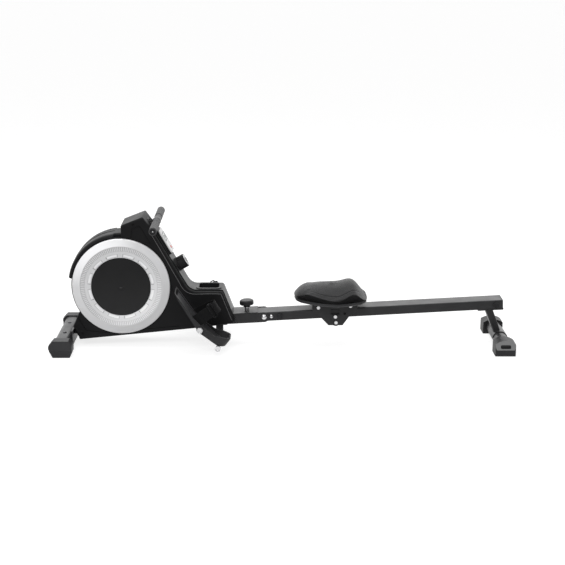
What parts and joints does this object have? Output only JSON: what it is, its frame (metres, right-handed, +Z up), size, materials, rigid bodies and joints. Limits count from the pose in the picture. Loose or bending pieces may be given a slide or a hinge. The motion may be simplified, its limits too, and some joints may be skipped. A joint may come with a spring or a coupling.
{
  "type": "magnetic rowing machine",
  "caption": "Folding magnetic rowing machine with a sliding seat on a box rail, tilting foot plates with straps, a pull handle and a flywheel housing.",
  "frame": {"origin": "on the floor, at the middle of the object's box", "axes": "+X to the rear along the rail, -Y to the rower's left, +Z up"},
  "size_m": [1.876, 0.432, 0.5435],
  "materials": {
    "frame_paint": "satin black powder coat",
    "shroud_plastic": "finely grained black",
    "panel_plastic": "smooth dark grey",
    "ring_silver": "silver lacquer",
    "cap_black": "smooth black",
    "console_black": "moulded black",
    "face_white": "smooth white",
    "screen_grey": "grey display",
    "button_red": "smooth red",
    "knob_plastic": "fluted black",
    "zinc": "bright zinc plate",
    "iron": "turned grey iron",
    "pulley_plastic": "moulded black",
    "belt_rubber": "matt black",
    "wheel_rubber": "matt black",
    "grip_foam": "closed-cell foam",
    "webbing": "woven black",
    "upholstery": "soft black, lightly grained",
    "foot_plastic": "moulded black"
  },
  "bodies": {
    "frame": {"main_frame": "frame_paint", "front_stabilizer": "frame_paint", "front_end_caps": "foot_plastic", "frame_fasteners": "zinc", "left_shroud": "shroud_plastic", "right_shroud": "shroud_plastic", "face_panel": "panel_plastic", "disc_rings": "ring_silver", "disc_caps": "cap_black", "console_housing": "console_black", "console_face": "face_white", "console_screen": "screen_grey", "handle_cradle": "console_black", "guide_pin": "zinc", "shaft_bearings": "zinc", "drive_belt": "belt_rubber", "pull_strap": "webbing", "pedal_axle": "zinc", "heel_rest_bar": "zinc", "axle_nuts": "zinc", "lock_bush": "zinc", "pivot_bolt": "zinc"},
    "button": {"console_button": "button_red"},
    "knob": {"tension_knob": "knob_plastic"},
    "guide": {"guide_roller": "pulley_plastic"},
    "flywheel_set": {"flywheel": "iron", "flywheel_axle": "zinc"},
    "pulley_set": {"drive_pulley": "pulley_plastic", "pulley_shaft": "zinc"},
    "reel": {"strap_reel": "pulley_plastic"},
    "magnet_arm": {"magnet_bracket": "frame_paint", "magnets": "iron"},
    "lock": {"lock_pin": "zinc", "lock_knob": "knob_plastic"},
    "left_wheel": {"transport_wheel_left": "wheel_rubber"},
    "right_wheel": {"transport_wheel_right": "wheel_rubber"},
    "handle": {"handle_bar": "frame_paint", "handle_grips": "grip_foam", "handle_end_plugs": "zinc", "strap_clip": "console_black"},
    "left_pedal": {"pedal_left": "foot_plastic", "pedal_strap_left": "webbing", "pedal_buckle_left": "zinc"},
    "right_pedal": {"pedal_right": "foot_plastic", "pedal_strap_right": "webbing", "pedal_buckle_right": "zinc"},
    "rail_body": {"rail": "frame_paint", "rail_end_cap": "foot_plastic", "seat_stops": "belt_rubber", "rail_bolts": "zinc", "rear_strut": "frame_paint", "rear_stabilizer": "frame_paint", "rear_end_caps": "foot_plastic"},
    "seat": {"seat_cushion": "upholstery", "seat_base": "foot_plastic", "seat_carriage": "frame_paint", "seat_bolts": "zinc"},
    "front_roller": {"upper_roller_front": "wheel_rubber"},
    "rear_roller": {"upper_roller_rear": "wheel_rubber"},
    "under_roller": {"lower_roller": "wheel_rubber"}
  },
  "joints": [
    {"name": "rail_fold", "type": "hinge", "parent": "frame", "child": "rail_body", "pos_m": [-0.073, 0, 0.12], "axis": [0, -1, 0], "range_deg": [0, 90]},
    {"name": "seat_slide", "type": "slide", "parent": "rail_body", "child": "seat", "axis": [0.9984, 0, 0.0558], "range_m": [-0.12, 0.55]},
    {"name": "handle_pull", "type": "slide", "parent": "frame", "child": "handle", "axis": [1, 0, 0], "range_m": [0, 1], "stiffness_N_per_m": 8, "springref_m": -0.3, "deforming": ["pull_strap"]},
    {"name": "pedal_tilt_left", "type": "hinge", "parent": "frame", "child": "left_pedal", "pos_m": [-0.329, -0.1425, 0.113], "axis": [0, -1, 0], "range_deg": [0, 35]},
    {"name": "pedal_tilt_right", "type": "hinge", "parent": "frame", "child": "right_pedal", "pos_m": [-0.329, 0.1425, 0.113], "axis": [0, -1, 0], "range_deg": [0, 35]},
    {"name": "flywheel_spin", "type": "hinge", "parent": "frame", "child": "flywheel_set", "pos_m": [-0.652, 0, 0.259], "axis": [0, 1, 0], "continuous": true},
    {"name": "pulley_spin", "type": "hinge", "parent": "frame", "child": "pulley_set", "pos_m": [-0.44, 0, 0.194], "axis": [0, 1, 0], "continuous": true},
    {"name": "reel_spin", "type": "hinge", "parent": "frame", "child": "reel", "pos_m": [-0.44, 0, 0.194], "axis": [0, 1, 0], "continuous": true},
    {"name": "guide_spin", "type": "hinge", "parent": "frame", "child": "guide", "pos_m": [-0.56, 0, 0.5017], "axis": [0, 1, 0], "continuous": true},
    {"name": "tension_turn", "type": "hinge", "parent": "frame", "child": "knob", "pos_m": [-0.43, 0, 0.33063], "axis": [0.866, 0, 0.5], "range_deg": [0, 315]},
    {"name": "magnet_swing", "type": "hinge", "parent": "frame", "child": "magnet_arm", "pos_m": [-0.78798, 0, 0.16379], "axis": [0, 1, 0], "range_deg": [0, 1.4]},
    {"name": "lock_pull", "type": "slide", "parent": "frame", "child": "lock", "axis": [-0.0558, 0, 0.9984], "range_m": [0, 0.012], "stiffness_N_per_m": 400, "springref_m": -0.01},
    {"name": "button_press", "type": "slide", "parent": "frame", "child": "button", "axis": [-0.866, 0, -0.5], "range_m": [0, 0.0015], "stiffness_N_per_m": 300, "springref_m": -0.002},
    {"name": "wheel_spin_left", "type": "hinge", "parent": "frame", "child": "left_wheel", "pos_m": [-0.915, -0.189, 0.036], "axis": [0, 1, 0], "continuous": true},
    {"name": "wheel_spin_right", "type": "hinge", "parent": "frame", "child": "right_wheel", "pos_m": [-0.915, 0.189, 0.036], "axis": [0, 1, 0], "continuous": true},
    {"name": "front_roller_spin", "type": "hinge", "parent": "seat", "child": "front_roller", "pos_m": [0.14931, 0, 0.16278], "axis": [0, 1, 0], "continuous": true},
    {"name": "rear_roller_spin", "type": "hinge", "parent": "seat", "child": "rear_roller", "pos_m": [0.28031, 0, 0.1701], "axis": [0, 1, 0], "continuous": true},
    {"name": "under_roller_spin", "type": "hinge", "parent": "seat", "child": "under_roller", "pos_m": [0.22208, 0, 0.09914], "axis": [0, 1, 0], "continuous": true}
  ],
  "couplings": [
    {"joint": "pulley_spin", "follows": "flywheel_spin", "ratio": 0.29412},
    {"joint": "reel_spin", "follows": "handle_pull", "rad_per_m": 24.213},
    {"joint": "guide_spin", "follows": "handle_pull", "rad_per_m": 75.188},
    {"joint": "magnet_swing", "follows": "tension_turn", "ratio": 0.004443},
    {"joint": "front_roller_spin", "follows": "seat_slide", "rad_per_m": 88.496},
    {"joint": "rear_roller_spin", "follows": "seat_slide", "rad_per_m": 88.496},
    {"joint": "under_roller_spin", "follows": "seat_slide", "rad_per_m": -54.645}
  ]
}
